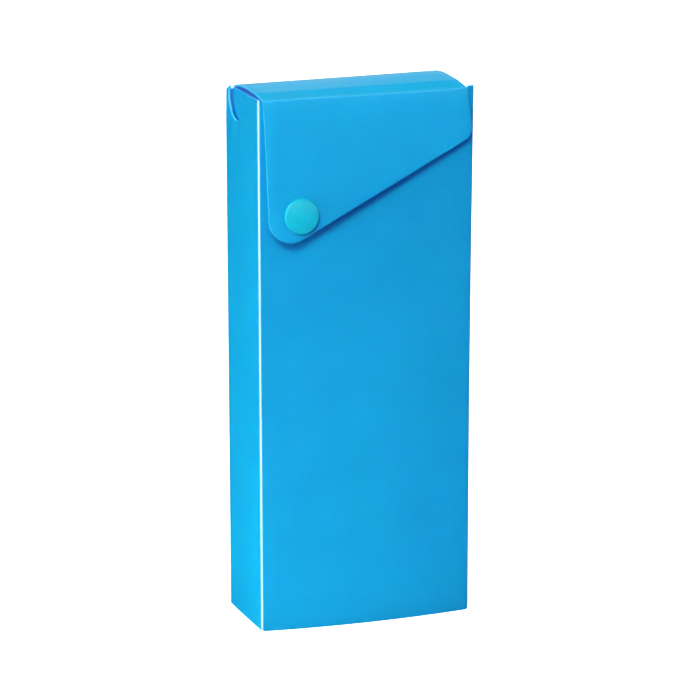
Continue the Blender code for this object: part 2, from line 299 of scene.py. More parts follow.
def sheet_material(name, colour, on_blank=True, light_through=0.0, satin=SATIN):
    """Satin polypropylene sheet: faint clouds and rolling streaks, a fine grain, and paler creases,
    the front-left fold's a painted highlight, with painted light below the lid's front crease.

    light_through is how strongly this face glows, a painted glow for light from behind the sheet,
    and satin is its least and most roughness.
    """
    material, tree, shader = new_material(name, roughness=0.4, specular=0.22)
    shader.inputs["Subsurface Weight"].default_value = 0.3
    shader.inputs["Subsurface Radius"].default_value = (0.1, 0.35, 1.0)
    shader.inputs["Subsurface Scale"].default_value = 0.0016
    shader.inputs["Emission Color"].default_value = SHEET_LIGHT
    shader.inputs["Emission Strength"].default_value = light_through
    place = place_on(tree, on_blank)
    clouds = noise(tree, place, scale=38, detail=3.0)
    streaks = noise(tree, place, scale=700, stretch=(1, 0.02, 1))
    grain = noise(tree, place, scale=3600)
    waves = noise(tree, place, scale=42, detail=1.0, stretch=(1, 0.55, 1))
    shade = mix(tree, remap(tree, clouds, 0.0, 1.0), scaled(colour, 0.965), scaled(colour, 1.03))
    shade = mix(tree, remap(tree, streaks, 0.0, 0.10), shade, scaled(colour, 0.8))
    shade = mix(tree, remap(tree, grain, 0.0, 0.07), shade, scaled(colour, BRIGHTENED))
    rough = remap(tree, clouds, *satin)
    if on_blank:
        # Paler along the creases: stress whitening, and on the front-left fold a painted highlight.
        crease = add(tree, "Attribute", attribute_name="crease").outputs["Fac"]
        whitening_and_highlight = add(tree, "Math", operation="MULTIPLY")
        tree.links.new(crease, whitening_and_highlight.inputs[0])
        tree.links.new(remap(tree, streaks, 0.75, 1.0), whitening_and_highlight.inputs[1])
        shade = mix(tree, whitening_and_highlight.outputs["Value"], shade, CREASE_WHITENING_AND_HIGHLIGHT)
        # Painted light: the sheet is lighter just below the lid's front crease.
        painted_glow = add(tree, "Attribute", attribute_name="painted_glow").outputs["Fac"]
        shade = mix(tree, painted_glow, shade, scaled(colour, BRIGHTENED))
    tree.links.new(shade, shader.inputs["Base Color"])
    tree.links.new(rough, shader.inputs["Roughness"])
    normal = bump(tree, waves, distance=0.0006, strength=0.25)
    normal = bump(tree, grain, distance=0.00003, strength=0.35, before=normal)
    tree.links.new(normal, shader.inputs["Normal"])
    return material


def edge_material(name, colour):
    """The cut edge of the sheet: a paler colour and a weak emission, a painted glow for light that runs
    inside the plastic and comes out here.
    """
    material, tree, shader = new_material(name, roughness=0.35, specular=0.4)
    shader.inputs["Emission Color"].default_value = EDGE_LIGHT
    shader.inputs["Emission Strength"].default_value = EDGE_LIGHT_STRENGTH
    marks = noise(tree, place_on(tree, True), scale=1500)
    shade = mix(tree, remap(tree, marks, 0.0, 1.0), scaled(colour, 0.85), colour)
    tree.links.new(shade, shader.inputs["Base Color"])
    tree.links.new(remap(tree, marks, 0.3, 0.5), shader.inputs["Roughness"])
    tree.links.new(bump(tree, marks, distance=0.00005, strength=0.4), shader.inputs["Normal"])
    return material


def snap_material(name, colour):
    """Moulded plastic: a slightly uneven skin with a soft gloss and a few fine scuffs."""
    material, tree, shader = new_material(name, roughness=0.3, specular=0.45)
    place = place_on(tree, False)
    clouds = noise(tree, place, scale=260)
    grain = noise(tree, place, scale=5200, detail=1.0)
    scuffs = noise(tree, place, scale=900, detail=4.0, stretch=(1, 0.15, 0.6))
    shade = mix(tree, remap(tree, clouds, 0.0, 1.0), scaled(colour, 0.94), scaled(colour, 1.05))
    shade = mix(tree, remap(tree, scuffs, 0.0, 0.05, start=0.62, end=0.75), shade, SCUFF_COLOUR)
    tree.links.new(shade, shader.inputs["Base Color"])
    rough = remap(tree, scuffs, 0.14, 0.27, start=0.35, end=0.75)
    tree.links.new(rough, shader.inputs["Roughness"])
    normal = bump(tree, clouds, distance=0.0001, strength=0.2)
    normal = bump(tree, grain, distance=0.00002, strength=0.25, before=normal)
    tree.links.new(normal, shader.inputs["Normal"])
    return material


SLEEVE_BLUE = sheet_material("sleeve_polypropylene", SLEEVE_COLOUR)
TRAY_BLUE = sheet_material("tray_polypropylene", SHADED_TRAY_COLOUR)
LID_BLUE = sheet_material("lid_polypropylene", LIT_LID_COLOUR, satin=LID_SATIN)
CUT_EDGE = edge_material("cut_edge", EDGE_PAINTED_GLOW_COLOUR)
# Every sheet's inner face: the tray's colour, with a painted glow.
INSIDE = sheet_material("inside_polypropylene", SHADED_TRAY_COLOUR, light_through=INSIDE_LIGHT_STRENGTH)
INNER_BLUE = sheet_material("inner_flap_polypropylene", SHADED_TRAY_COLOUR, on_blank=False)
TEAL = snap_material("press_stud_plastic", SNAP_COLOUR)


# ---------------------------------------------------------------- folded sheets

# A sheet's materials: its outer face, then its inner face, then its cut edges.
INNER_FACE = 1
CUT_FACE = 2


def cut_blank(outline, across, along):
    """A flat sheet cut to an outline in (u, v) and divided along lines, so that it can bend there."""
    bm = bmesh.new()
    bm.faces.new([bm.verts.new((u, v, 0)) for u, v in outline])
    for axis, places in ((Vector((1, 0, 0)), across), (Vector((0, 1, 0)), along)):
        for place in places:
            everything = bm.verts[:] + bm.edges[:] + bm.faces[:]
            bmesh.ops.bisect_plane(
                bm, geom=everything, plane_co=axis * place, plane_no=axis, dist=SAME_PLACE
            )
    return bm


def fold_blank(bm, place, crease_at, turn_over=True, painted_glow_at=None):
    """Moves a flat blank's points to where folding takes them, and notes where they were on it.

    It also notes how pale each point's crease is and how much light is painted onto the sheet there.
    """
    flat = bm.verts.layers.float_vector.new("flat")
    crease = bm.verts.layers.float.new("crease")
    painted_glow = bm.verts.layers.float.new("painted_glow")
    for vert in bm.verts:
        u, v = vert.co.x, vert.co.y
        vert[flat] = (u, v, 0)
        vert[crease] = crease_at(u, v)
        vert[painted_glow] = painted_glow_at(u, v) if painted_glow_at else 0.0
        vert.co = place(u, v)
    if turn_over:
        bmesh.ops.reverse_faces(bm, faces=bm.faces[:])


def round_edges(mesh, is_seam):
    """Eases the arris between a sheet's faces and its cut edges, except where two pieces meet."""
    bm = bmesh.new()
    bm.from_mesh(mesh)
    flat = bm.verts.layers.float_vector["flat"]
    arrises = []
    for edge in bm.edges:
        kinds = {face.material_index for face in edge.link_faces}
        on_seam = all(is_seam(*vert[flat].xy) for vert in edge.verts)
        if CUT_FACE in kinds and len(kinds) == 2 and not on_seam:
            arrises.append(edge)
    bmesh.ops.bevel(
        bm, geom=arrises, offset=ARRIS, segments=3, profile=0.5, affect="EDGES", clamp_overlap=True,
        material=CUT_FACE
    )
    bm.to_mesh(mesh)
    bm.free()


def finish_sheet(name, bm, material, is_seam=lambda u, v: False):
    """Thickens a folded blank inwards into one closed sheet with cut edges of their own material."""
    mesh = bpy.data.meshes.new(name)
    bm.to_mesh(mesh)
    bm.free()
    raw = linked(name + "_raw", mesh)
    solidify = raw.modifiers.new("thickness", "SOLIDIFY")
    solidify.thickness = SHEET
    solidify.offset = -1
    solidify.use_even_offset = True
    solidify.use_quality_normals = True
    solidify.material_offset = INNER_FACE
    solidify.material_offset_rim = CUT_FACE
    for one in (material, INSIDE, CUT_EDGE):
        mesh.materials.append(one)
    graph = bpy.context.evaluated_depsgraph_get()
    thick = bpy.data.meshes.new_from_object(raw.evaluated_get(graph))
    bpy.data.objects.remove(raw)
    thick.name = name
    round_edges(thick, is_seam)
    thick.shade_smooth()
    thick.set_sharp_from_angle(angle=SMOOTH_ANGLE)
    sheet = linked(name, thick)
    return sheet


def fold_points(corner, heading, turned, radius=FOLD_RADIUS):
    """The outer face of one right-angled fold, from heading to turned."""
    centre = corner + (turned - heading) * radius
    points = []
    for step in range(FOLD_STEPS + 1):
        angle = math.radians(90) * step / FOLD_STEPS
        points.append(centre + radius * (heading * math.sin(angle) - turned * math.cos(angle)))
    return points


class Walls:
    """Where a point (u, v) of a blank's walls goes.

    u runs round the outer face, clockwise from above, from the glue flap to the back wall's end, and
    v is the height.
    """

    def __init__(self, half_width, front, back, front_bow, side_bow, top, radius=FOLD_RADIUS):
        right, left, forward, backward = (Vector(way) for way in ((1, 0), (-1, 0), (0, -1), (0, 1)))
        lap = back - SHEET - GLUE_GAP
        self.top = top
        self.stations = []
        self.marks = {}
        self.folds = []
        self.run([Vector((half_width - GLUE_FLAP_WIDTH, lap))])
        self.turn("glue", fold_points(Vector((half_width, lap)), right, forward, radius))
        corner = fold_points(Vector((half_width, front)), forward, left, radius)
        self.panel(corner[0], right, side_bow, SIDE_STEPS)
        self.turn("right_front", corner)
        corner = fold_points(Vector((-half_width, front)), left, backward, radius)
        self.panel(corner[0], forward, front_bow, FRONT_STEPS)
        self.turn("left_front", corner)
        corner = fold_points(Vector((-half_width, back)), backward, right, radius)
        self.panel(corner[0], left, side_bow, SIDE_STEPS)
        self.turn("left_back", corner)
        self.panel(Vector((half_width - GAP, back)), backward, 0.0, BACK_STEPS)
        self.u, self.x, self.y, self.bow_x, self.bow_y = np.array(self.stations).T

    def run(self, points, bows=None):
        """Adds points (x, y), with how far the wall bows there at its foot."""
        for index, point in enumerate(points):
            bow = bows[index] if bows else (0.0, 0.0)
            far = 0.0
            if self.stations:
                last = self.stations[-1]
                far = last[0] + math.hypot(point[0] - last[1], point[1] - last[2])
            self.stations.append((far, point[0], point[1], *bow))

    def turn(self, name, points):
        """Adds a fold's points, and notes where on the blank the fold lies and how pale it is."""
        if (points[0] - Vector(self.stations[-1][1:3])).length > SAME_PLACE:
            self.run(points[:1])
        start = self.stations[-1][0]
        self.run(points[1:])
        end = self.stations[-1][0]
        self.marks[name] = (start, end)
        paleness = FRONT_LEFT_PAINTED_HIGHLIGHT if name == "left_front" else WALL_PALENESS
        self.folds.append(((start + end) / 2, paleness))

    def panel(self, end, outward, bow, steps):
        """Adds a wall as far as its end. It bows outward at its foot, most in the middle."""
        start = Vector(self.stations[-1][1:3])
        bows = [outward * bow * 4 * step / steps * (1 - step / steps) for step in range(1, steps + 1)]
        self.run(steps_between(start, end, steps), bows)

    def __call__(self, u, v):
        low = 1 - v / self.top
        x = np.interp(u, self.u, self.x) + np.interp(u, self.u, self.bow_x) * low
        y = np.interp(u, self.u, self.y) + np.interp(u, self.u, self.bow_y) * low
        return (x, y, v)

    def crease(self, u, v):
        """How pale the sheet is near a fold: stress whitening, and on the front-left fold a painted
        highlight.
        """
        pale = 0.0
        for fold, paleness in self.folds:
            pale = max(pale, paleness * math.exp(-(((u - fold) / WALL_CREASE_REACH) ** 4)))
        return pale


def scooped_edge(centre, top, low, radius, lips, ear=0.0):
    """An edge at height top, from low u to high u, with a round scoop down to low and rounded lips.

    The edge beyond the scoop is higher by ear.
    """
    middle = low + radius
    rises = (top - lips[0] - middle, top + ear - lips[1] - middle)
    reaches = [math.sqrt((radius + lip) ** 2 - rise**2) for lip, rise in zip(lips, rises)]
    turns = [math.atan2(rise, reach) for rise, reach in zip(rises, reaches)]
    points = []
    for step in range(LIP_STEPS + 1):
        angle = math.pi / 2 - (math.pi / 2 + turns[0]) * step / LIP_STEPS
        near = centre - reaches[0] + lips[0] * math.cos(angle)
        points.append((near, top - lips[0] + lips[0] * math.sin(angle)))
    for step in range(1, SCOOP_STEPS):
        angle = math.pi - turns[0] + (math.pi + turns[0] + turns[1]) * step / SCOOP_STEPS
        points.append((centre + radius * math.cos(angle), middle + radius * math.sin(angle)))
    for step in range(LIP_STEPS + 1):
        angle = math.pi + turns[1] - (math.pi / 2 + turns[1]) * step / LIP_STEPS
        far = centre + reaches[1] + lips[1] * math.cos(angle)
        points.append((far, top + ear - lips[1] + lips[1] * math.sin(angle)))
    return points


def wall_outline(walls, base, side_top, front_edge, back_edge, scoops=((), ())):
    """The walls' blank: its lower edge from the glue flap to the back wall, then its upper edge."""
    low = base + SHEET + GAP
    end = walls.stations[-1][0]
    glue_end = walls.marks["glue"][0]
    right_front, left_front = walls.marks["right_front"], walls.marks["left_front"]
    left_back = walls.marks["left_back"]
    lower = [(0, low + GLUE_FLAP_TAPER), (glue_end, low), (right_front[0], low), (right_front[1], base)]
    lower += [(left_front[0], base), (left_front[1], low), (end, low)]
    upper = [(0, side_top - GLUE_FLAP_TAPER), (glue_end, side_top), *scoops[0], *front_edge, *scoops[1]]
    upper += [(left_back[0], side_top), *back_edge]
    return lower + upper[::-1]


def build_sleeve():
    half_width, half_depth = CASE_WIDTH / 2, CASE_DEPTH / 2
    walls = Walls(half_width, -half_depth, half_depth, FRONT_BOW, SIDE_BOW, SLEEVE_TOP)
    from_middle = half_depth - NOTCH_SET_IN - NOTCH_RADIUS
    low = SLEEVE_TOP - NOTCH_DEPTH
    right_start = walls.marks["glue"][1]
    left_start = walls.marks["left_front"][1]
    side_start_y = half_depth - SHEET - GLUE_GAP - FOLD_RADIUS
    right_notch = right_start + side_start_y + from_middle
    left_notch = left_start + half_depth - FOLD_RADIUS + from_middle
    scoops = [
        scooped_edge(right_notch, SLEEVE_TOP, low, NOTCH_RADIUS, NOTCH_LIPS, RIGHT_EAR),
        scooped_edge(left_notch, SLEEVE_TOP, low, NOTCH_RADIUS, NOTCH_LIPS[::-1], LEFT_EAR),
    ]
    right, left = walls.marks["right_front"], walls.marks["left_front"]
    front_edge = [
        (right[0], SLEEVE_TOP),
        (right[1] + FRONT_EAR_AT, SLEEVE_TOP + FRONT_EAR),
        (right[1] + FRONT_DROP_FROM, SLEEVE_TOP - FRONT_DROP),
        (left[0] - FRONT_DROP_TO[0], SLEEVE_TOP - FRONT_DROP),
        (left[0] - FRONT_DROP_TO[1], SLEEVE_TOP),
        (left[1], SLEEVE_TOP),
    ]
    back_start, back_end = walls.marks["left_back"][1], walls.stations[-1][0]
    back_edge = [
        (back_start + BACK_DROP_FROM[0], SLEEVE_TOP),
        (back_start + BACK_DROP_FROM[1], SLEEVE_TOP - BACK_DROPS[0]),
        (back_end, SLEEVE_TOP - BACK_DROPS[1]),
    ]
    outline = wall_outline(walls, 0.0, SLEEVE_TOP, front_edge, back_edge, scoops)
    heights = steps_between(0.0, SLEEVE_TOP, WALL_ROWS)[:-1]
    bm = cut_blank(outline, list(walls.u[1:-1]), heights)

    def flared(u, v):
        x, y, z = walls(u, v)
        to_left = max(0.0, -x / half_width)
        to_back = max(0.0, y / half_depth)
        height = max(0.0, (v - FLARE_FROM) / (SLEEVE_TOP - FLARE_FROM)) ** 2
        share = max(0.0, x / half_width) ** 2 * height
        sag = BACK_SAG * height * to_left**BACK_SAG_POWER * to_back
        up_ear = max(0.0, (v - EAR_FROM) / (SLEEVE_TOP + LEFT_EAR - EAR_FROM))
        lean = EAR_LEAN * (to_left * to_back) * up_ear**EAR_LEAN_POWER
        spread = FLARE * share - LEFT_FLARE * to_left * v / SLEEVE_TOP
        return (x + spread + lean, y, z + FLARE_LIFT * share - sag)

    fold_blank(bm, flared, walls.crease)
    sleeve = finish_sheet("sleeve_blank", bm, SLEEVE_BLUE)
    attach(sleeve, "sleeve")
    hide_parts("sleeve_walls")


def build_tray():
    half_width = TRAY_WIDTH / 2
    walls = Walls(half_width, TRAY_FRONT, TRAY_BACK, 0.0, 0.0, TRAY_SIDE_TOP, TRAY_FOLD_RADIUS)
    radius = ((SCOOP_WIDTH / 2) ** 2 + SCOOP_DEPTH**2) / (2 * SCOOP_DEPTH)
    centre = (walls.marks["right_front"][1] + walls.marks["left_front"][0]) / 2
    scoop = scooped_edge(centre, TRAY_FRONT_TOP, TRAY_FRONT_TOP - SCOOP_DEPTH, radius, SCOOP_LIPS)
    front_right, front_left = walls.marks["right_front"][0], walls.marks["left_front"][1]
    front_edge = [(front_right, TRAY_FRONT_TOP), *scoop, (front_left, TRAY_FRONT_TOP)]
    back_left = walls.marks["left_back"][0] + LID_SEAM_STEP
    back_edge = [(back_left, LID_SEAM), (walls.stations[-1][0], LID_SEAM)]
    outline = wall_outline(walls, TRAY_BASE, TRAY_SIDE_TOP, front_edge, back_edge)
    heights = steps_between(TRAY_BASE, TRAY_FRONT_TOP, WALL_ROWS)[:-1]
    bm = cut_blank(outline, list(walls.u[1:-1]), heights)
    fold_blank(bm, walls, walls.crease)
    back_start = walls.marks["left_back"][1]

    def meets_lid(u, v):
        return u > back_start and abs(v - LID_SEAM) < SAME_PLACE

    tray = finish_sheet("tray_blank", bm, TRAY_BLUE, meets_lid)
    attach(tray, "tray")
    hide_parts("tray_walls")


def build_base(body, half_width, front, back, base, material):
    """The bottom panel, folded from the back wall, and its tuck flap, folded up behind the front."""
    forward, up = Vector((-1, 0)), Vector((0, 1))
    tuck_face = front + SHEET + GAP
    panel_half = half_width - GAP / 2
    tuck_half = half_width - SHEET - 2 * GAP
    points = fold_points(Vector((back, base)), -up, forward)
    points = [point for point in points if point.y < base + SHEET + GAP - PANEL_CORNER_CUT]
    tuck = fold_points(Vector((tuck_face, base)), forward, up)
    points += steps_between(points[-1], tuck[0], PANEL_ROWS) + tuck[1:]
    points += steps_between(points[-1], Vector((tuck_face, base + TUCK_FLAP_HEIGHT)), TUCK_ROWS)
    v = lengths_along(points)
    y, z = np.array(points).T
    tuck_at = v[len(points) - len(tuck) - TUCK_ROWS]
    shoulder = tuck_at + TUCK_FLAP_SHOULDER
    corner = TUCK_FLAP_CORNER
    outline = [(-panel_half, 0), (panel_half, 0), (panel_half, tuck_at), (tuck_half, shoulder)]
    for side in (1, -1):
        end = []
        for step in range(FOLD_STEPS + 1):
            angle = math.radians(90) * step / FOLD_STEPS
            x = side * (tuck_half - corner + corner * math.cos(angle))
            end.append((x, v[-1] - corner + corner * math.sin(angle)))
        outline += end if side == 1 else end[::-1]
    outline += [(-tuck_half, shoulder), (-panel_half, tuck_at)]
    across = steps_between(-panel_half, panel_half, PANEL_COLUMNS)[:-1]
    bm = cut_blank(outline, across, list(v[1:-1]))

    def folded(u, far):
        return (u, np.interp(far, v, y), np.interp(far, v, z))

    fold_blank(bm, folded, lambda u, far: 0.0, turn_over=False)
    panel = finish_sheet(body + "_base_blank", bm, material)
    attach(panel, body)
    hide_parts(body + "_bottom_panel")


def curve_points(start, control, end):
    """A crease's rounded outer face, which leaves start and reaches end along the panels it joins."""
    points = []
    for step in range(1, FOLD_STEPS + 1):
        share = step / FOLD_STEPS
        points.append(start.lerp(control, share).lerp(control.lerp(end, share), share))
    return points


def arch_rise(share):
    """How much of its rise the lid's arch has at this share of the way from back to front."""
    return 4 * share * (1 - share) * (1 + LID_ARCH_SKEW * (1 - 2 * share))


def arch(share):
    """A point on the lid's outer face, on the way from the back crease to the ridge."""
    chord = RIDGE - BACK_CREASE
    upward = Vector((chord.y, -chord.x)).normalized()
    return BACK_CREASE + chord * share + upward * LID_RISE * arch_rise(share)


class LidPath:
    """The lid's sheet: where a point lies that is u to the right and v along it from the back wall."""

    def __init__(self):
        down = Vector((-FLAP_SLOPE, -1)).normalized()
        along = (LOWER_CREASE - RIDGE).normalized()
        points = [Vector((TRAY_BACK, LID_SEAM)), Vector((TRAY_BACK, BACK_CREASE.y - CREASE_REACH))]
        points += curve_points(points[-1], BACK_CREASE, arch(ARCH_ENDS[0]))
        back = (1, len(points) - 1)
        points += [arch(share) for share in steps_between(*ARCH_ENDS, ARCH_STEPS)]
        points += curve_points(points[-1], RIDGE, RIDGE + along * CREASE_REACH)
        points += steps_between(points[-1], RIDGE.lerp(LOWER_CREASE, STRIP_FROM), STRIP_STEPS)
        self.first_seam = len(points) - 1
        points += steps_between(points[-1], RIDGE.lerp(LOWER_CREASE, STRIP_BENT_BY), STRIP_STEPS)
        upper = (self.first_seam, len(points) - 1)
        points += steps_between(points[-1], LOWER_CREASE - along * CREASE_REACH, 2)
        self.second_seam = len(points) - 1
        points += curve_points(points[-1], LOWER_CREASE, LOWER_CREASE + down * CREASE_REACH)
        lower = (self.second_seam, len(points) - 1)
        self.flap_start = len(points) - 1
        out = Vector((down.y, -down.x))
        for drop in steps_between(CREASE_REACH, FLAP_LENGTH, FLAP_ROWS):
            share = min(1.0, (drop - CREASE_REACH) / SNAP_DROP)
            bulge = FLAP_BULGE * math.sin(math.pi * share)
            points.append(LOWER_CREASE + down * drop + out * bulge)
        self.points = points
        self.v = lengths_along(points)
        self.y, self.z = np.array(points).T
        self.bends = [back, upper, lower]
        self.folds = [(self.v[first] + self.v[last]) / 2 for first, last in (back, lower)]

    def __call__(self, u, v):
        return (u, np.interp(v, self.v, self.y), np.interp(v, self.v, self.z))

    def crease(self, u, v):
        """How pale the sheet is, from being folded near here."""
        nearest = min(abs(v - fold) for fold in self.folds)
        return LID_PALENESS * math.exp(-((nearest / LID_CREASE_REACH) ** 2))

    def painted_glow(self, u, v):
        """How much painted light brightens the sheet, from the front crease down the flap."""
        below = v - self.folds[1]
        return PAINTED_GLOW * math.exp(-below / PAINTED_GLOW_FADE) if below > 0 else 0.0

    def ends_of(self, bend):
        """Where one of the lid's bends starts and ends."""
        return [(0, *self.points[index]) for index in self.bends[bend]]


def rounded_corner(before, corner, after, radius):
    """The arc that rounds one sharp corner of an outline."""
    corner = Vector(corner)
    first = (Vector(before) - corner).normalized()
    second = (Vector(after) - corner).normalized()
    half_angle = first.angle(second) / 2
    centre = corner + (first + second).normalized() * radius / math.sin(half_angle)
    start = corner + first * radius / math.tan(half_angle) - centre
    end = corner + second * radius / math.tan(half_angle) - centre
    turn = start.angle(end)
    points = []
    for step in range(CORNER_STEPS + 1):
        share = step / CORNER_STEPS
        point = start * math.sin((1 - share) * turn) + end * math.sin(share * turn)
        points.append(tuple(centre + point / math.sin(turn)))
    return points


def tilt(mesh):
    """Lifts the lid's right side and lowers its left, less and less down the flap and the back wall."""
    for vert in mesh.vertices:
        x, y, z = vert.co
        side = x / (TRAY_WIDTH / 2)
        share = clamped((BACK_CREASE.x - y) / (BACK_CREASE.x - RIDGE.x))
        front = clamped((RIDGE.x - y) / (RIDGE.x - LOWER_CREASE.x))
        curl = CURL * max(0.0, side) ** CURL_POWER * front
        rise = BACK_TILT + (RIDGE_TILT - BACK_TILT) * share + (CREASE_TILT - RIDGE_TILT) * front
        rise += LID_RISE_TILT * arch_rise(share)
        down = clamped((LOWER_CREASE.y + TILT_FADE_FROM - z) / TILT_FADE)
        fade = 1 - down * down * (3 - 2 * down)
        if y > BACK_CREASE.x - BACK_BEND:
            fade = clamped((z - LID_SEAM) / (BACK_CREASE.y - SHEET - LID_SEAM))
        vert.co.z = z + (side * rise + curl) * fade


def lid_piece(name, path, outline, rows, seams, bend, node):
    """One piece of the lid's sheet: cut, folded, thickened and tilted with the rest of the lid."""
    across = steps_between(-TRAY_WIDTH / 2, TRAY_WIDTH / 2, LID_COLUMNS)[:-1]
    bm = cut_blank(outline, across, rows)
    fold_blank(bm, path, path.crease, painted_glow_at=path.painted_glow)

    def meets_next(u, v):
        return any(abs(v - seam) < SAME_PLACE for seam in seams)

    piece = finish_sheet(name, bm, LID_BLUE, meets_next)
    start, end = path.ends_of(bend)
    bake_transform(piece)
    tilt(piece.data)
    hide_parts(node)


def build_lid():
    """The lid, from the tray's back wall to the flap's end, in three pieces."""
    path = LidPath()
    v = path.v
    first, second = path.first_seam, path.second_seam
    flap = path.flap_start

    def strip_between(low, high, low_left=LID_LEFT):
        return [(low_left, low), (LID_RIGHT, low), (LID_RIGHT, high), (LID_LEFT, high)]

    outline = strip_between(0, v[first], LID_BACK_LEFT)
    seams = (0.0, v[first])
    lid_piece("lid_panel", path, outline, list(v[1:first]), seams, 0, "lid_top_panel")

    outline = strip_between(v[first], v[second])
    rows = list(v[first + 1 : second])
    seams = (v[first], v[second])
    lid_piece("lid_strip_blank", path, outline, rows, seams, 1, "lid_front_strip")

    crease_at = v[flap] - CREASE_REACH
    top = v[second]
    right = (FLAP_RIGHT[0], crease_at + FLAP_RIGHT[1])
    left = (FLAP_LEFT[0], crease_at + FLAP_LEFT[1])
    outline = [(LID_LEFT, top), (LID_RIGHT, top)]
    outline += rounded_corner((LID_RIGHT, top), right, left, FLAP_RIGHT_RADIUS)
    outline += rounded_corner(right, left, (LID_LEFT, top), FLAP_LEFT_RADIUS)
    rows = list(v[second + 1 : -1])
    lid_piece("flap_blank", path, outline, rows, (top,), 2, "closure_flap")


# ---------------------------------------------------------------- press stud

# Profiles are lists of (radius, height above the face that the piece is riveted to).
CAP_TOP = 0.00215
CAP_DOME_RADIUS = 0.0061
CAP_DOME_FALL = 0.00045
CAP_RIM_CENTRE = (0.00612, 0.00082)
CAP_RIM_RADIUS = 0.00088
CAP_UNDERSIDE = 0.0003
POST_RADIUS = 0.00115
POST_HEAD_RADIUS = 0.0017
POST_HEAD_AT = -0.0015
FLANGE_RADIUS = 0.0050
FLANGE_ROUNDING = 0.0003
SOCKET_LIP_RADIUS = 0.0002
STUD_SMOOTH_ANGLE = math.radians(34)
TURN_STEPS = 96


def lathe(name, profile, placing, closed=False):
    """A round piece turned about placing's Z axis, from (radius, height) points down its outer side."""
    bm = bmesh.new()
    rings = []
    for radius, height in profile:
        if radius == 0:
            rings.append([bm.verts.new(placing @ Vector((0, 0, height)))] * TURN_STEPS)
            continue
        ring = []
        for step in range(TURN_STEPS):
            angle = 2 * math.pi * step / TURN_STEPS
            point = Vector((radius * math.cos(angle), radius * math.sin(angle), height))
            ring.append(bm.verts.new(placing @ point))
        rings.append(ring)
    pairs = list(zip(rings, rings[1:]))
    if closed:
        pairs.append((rings[-1], rings[0]))
    for upper, lower in pairs:
        for step in range(TURN_STEPS):
            after = (step + 1) % TURN_STEPS
            corners = []
            for vert in (upper[step], lower[step], lower[after], upper[after]):
                if vert not in corners:
                    corners.append(vert)
            bm.faces.new(corners)
    bmesh.ops.recalc_face_normals(bm, faces=bm.faces[:])
    mesh = bpy.data.meshes.new(name)
    bm.to_mesh(mesh)
    bm.free()
    mesh.materials.append(TEAL)
    mesh.shade_smooth()
    mesh.set_sharp_from_angle(angle=STUD_SMOOTH_ANGLE)
    made = linked(name, mesh)
    return made


def arc(centre, radius, start, end, steps):
    """Points round part of a circle in a profile, by angles in degrees."""
    points = []
    for step in range(steps + 1):
        angle = math.radians(start + (end - start) * step / steps)
        points.append((centre[0] + radius * math.cos(angle), centre[1] + radius * math.sin(angle)))
    return points


def at_flap(x, drop):
    """The place on the flap's outer face that is drop below the front crease, with Z pointing out."""
    up = Vector((0, FLAP_SLOPE, 1)).normalized()
    out = Vector((1, 0, 0)).cross(up)
    turning = Matrix(((1, 0, 0), up, out)).transposed().to_4x4()
    return Matrix.Translation(Vector((x, *LOWER_CREASE)) - up * drop) @ turning


def at_front(x, height):
    """The place on the sleeve's bowed front at this height, with Z pointing out."""
    share = (x / (CASE_WIDTH / 2 - FOLD_RADIUS) + 1) / 2
    bow = FRONT_BOW * (1 - height / SLEEVE_TOP) * 4 * share * (1 - share)
    place = Matrix.Translation((x, -CASE_DEPTH / 2 - bow, height))
    return place @ Matrix.Rotation(math.radians(90), 4, "X")


def build_cap(placing):
    """The domed cap outside the flap, with the post that goes through to the socket."""
    profile = [(0.0, CAP_TOP)]
    for radius in steps_between(0.0, CAP_DOME_RADIUS, 10):
        profile.append((radius, CAP_TOP - CAP_DOME_FALL * (radius / CAP_DOME_RADIUS) ** 2))
    profile += arc(CAP_RIM_CENTRE, CAP_RIM_RADIUS, 82, -30, 12)
    profile += [(0.0060, CAP_UNDERSIDE), (POST_RADIUS, CAP_UNDERSIDE), (POST_RADIUS, POST_HEAD_AT)]
    profile += [(POST_HEAD_RADIUS, POST_HEAD_AT), (POST_HEAD_RADIUS, -0.00175), (0.0, -0.0018)]
    cap = lathe("press_stud_cap", profile, placing)
    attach(cap, "flap")
    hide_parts("snap_cap")


def build_socket(placing):
    """The socket inside the flap: a flange with a grooved face and a round bore."""
    profile = [(0.0016, -0.0010)]
    profile += arc((FLANGE_RADIUS, -0.0013), FLANGE_ROUNDING, 90, 0, 4)
    profile += arc((FLANGE_RADIUS, -0.0025), FLANGE_ROUNDING, 0, -90, 4)
    profile += [(0.0044, -0.0028), (0.0042, -0.0024), (0.0037, -0.0024), (0.0035, -0.0028)]
    profile += arc((0.0031, -0.0026), SOCKET_LIP_RADIUS, -90, -180, 3)
    profile += [(0.0028, -0.0024), (0.0030, -0.0020), (0.0030, -0.0014), (0.0016, -0.0014)]
    socket = lathe("press_stud_socket", profile, placing, closed=True)
    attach(socket, "flap")
    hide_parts("snap_socket")


def build_stud(placing):
    """The stud on the sleeve's front: a flange with a bulged ring that the socket grips."""
    profile = [(0.0019, 0.0024)]
    profile += arc((0.0023, 0.0021), FLANGE_ROUNDING, 90, -20, 6)
    profile += [(0.0024, 0.0015), (0.0023, 0.0011), (0.0026, 0.0010)]
    profile += arc((0.0047, 0.0007), FLANGE_ROUNDING, 90, 0, 4)
    profile += [(FLANGE_RADIUS, 0.0003), (0.0016, 0.0003), (0.0016, 0.0015), (0.0019, 0.0015)]
    stud = lathe("press_stud_post", profile, placing, closed=True)
    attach(stud, "sleeve")
    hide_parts("snap_stud")


